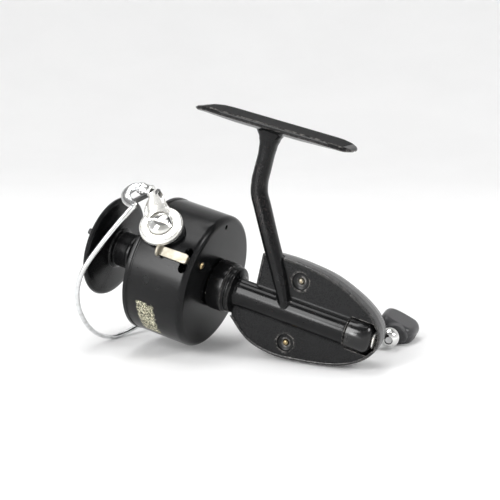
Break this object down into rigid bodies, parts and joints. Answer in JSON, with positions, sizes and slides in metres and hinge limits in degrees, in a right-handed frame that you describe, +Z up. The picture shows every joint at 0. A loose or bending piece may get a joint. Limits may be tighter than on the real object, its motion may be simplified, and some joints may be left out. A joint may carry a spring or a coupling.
{
  "type": "spinning fishing reel",
  "caption": "Open-face fixed-spool spinning reel with a cup rotor, folding wire bail, line roller, rear tube housing, side crank and a long stem with a rod foot.",
  "frame": {"origin": "centre of the flat top face of the foot, where it meets the rod", "axes": "+X forward towards the spool along the spool axis, +Z up towards the rod, +Y towards the side with the shaft tube; the crank is on -Y"},
  "size_m": [0.131, 0.0969, 0.1094],
  "materials": {
    "black_enamel": "baked black enamel on cast alloy, satin, with worn edges",
    "gloss_enamel": "glossy black enamel",
    "chrome_plate": "polished plating, a little dulled",
    "nickel_plate": "dull warm nickel plate on steel",
    "brass_bare": "turned brass, aged",
    "bare_steel": "bright turned steel, oiled",
    "grip_plastic": "moulded black plastic, semi gloss",
    "black_plastic": "moulded black plastic",
    "felt": "oiled pressed fibre"
  },
  "bodies": {
    "frame": {"body_casting": "black_enamel", "gear_housing": "black_enamel", "housing_screw_upper": "nickel_plate", "housing_screw_lower": "brass_bare", "tube_end_cap": "gloss_enamel", "end_plug": "chrome_plate", "front_bearing": "bare_steel", "neck_bushing": "brass_bare", "crank_bushing": "brass_bare", "pawl_pivot": "bare_steel"},
    "pawl": {"anti_reverse_pawl": "bare_steel"},
    "rotor": {"rotor_cup": "black_enamel", "rotor_nut": "brass_bare", "pinion": "brass_bare", "spring_rivet": "brass_bare", "lever_rivet": "nickel_plate", "bail_screw_near": "chrome_plate", "bail_screw_far": "chrome_plate", "bail_spring": "bare_steel"},
    "lever": {"trip_lever": "nickel_plate"},
    "bail": {"bail_arm": "chrome_plate", "roller_pin": "bare_steel", "bail_wire": "chrome_plate"},
    "roller": {"line_roller": "chrome_plate"},
    "shaft": {"main_shaft": "bare_steel", "shaft_yoke": "brass_bare", "drag_washer_keyed": "bare_steel"},
    "spool": {"spool": "black_enamel", "drag_washer_rear": "felt", "drag_washer_front": "felt"},
    "drag": {"drag_knob": "black_plastic", "drag_spring": "bare_steel"},
    "crank": {"drive_gear": "brass_bare", "drive_pin": "bare_steel", "ratchet_wheel": "bare_steel", "crank_shaft": "bare_steel", "crank_arm": "chrome_plate", "crank_screw": "chrome_plate", "knob_spindle": "bare_steel"},
    "knob": {"handle_knob": "grip_plastic"}
  },
  "joints": [
    {"name": "crank_turn", "type": "hinge", "parent": "frame", "child": "crank", "pos_m": [-0.021, 0, -0.0705], "axis": [0, 1, 0], "continuous": true},
    {"name": "rotor_spin", "type": "hinge", "parent": "frame", "child": "rotor", "pos_m": [0, 0, -0.0705], "axis": [1, 0, 0], "continuous": true},
    {"name": "spool_stroke", "type": "slide", "parent": "frame", "child": "shaft", "axis": [1, 0, 0], "range_m": [-0.013, 0]},
    {"name": "spool_drag", "type": "hinge", "parent": "shaft", "child": "spool", "pos_m": [0, 0, -0.0705], "axis": [1, 0, 0], "continuous": true},
    {"name": "drag_adjust", "type": "hinge", "parent": "shaft", "child": "drag", "pos_m": [0, 0, -0.0705], "axis": [1, 0, 0], "range_deg": [-360, 720]},
    {"name": "bail_pivot", "type": "hinge", "parent": "rotor", "child": "bail", "pos_m": [0.03, 0, -0.0705], "axis": [0, -0.6947, -0.7193], "range_deg": [0, 105]},
    {"name": "roller_spin", "type": "hinge", "parent": "bail", "child": "roller", "pos_m": [0.0399, 0.01675, -0.03746], "axis": [1, 0, 0], "continuous": true},
    {"name": "lever_swing", "type": "hinge", "parent": "rotor", "child": "lever", "pos_m": [0.0273, 0.02536, -0.05644], "axis": [0, 0.8746, 0.4848], "range_deg": [-8, 8], "stiffness_Nm_per_rad": 0.02},
    {"name": "pawl_swing", "type": "hinge", "parent": "frame", "child": "pawl", "pos_m": [-0.0365, -0.0095, -0.0755], "axis": [0, 1, 0], "range_deg": [-12, 20]},
    {"name": "knob_spin", "type": "hinge", "parent": "crank", "child": "knob", "pos_m": [-0.05579, -0.0335, -0.07937], "axis": [0.2328, -0.9707, 0.0593], "continuous": true}
  ],
  "couplings": [
    {"joint": "rotor_spin", "follows": "crank_turn", "ratio": 3}
  ]
}
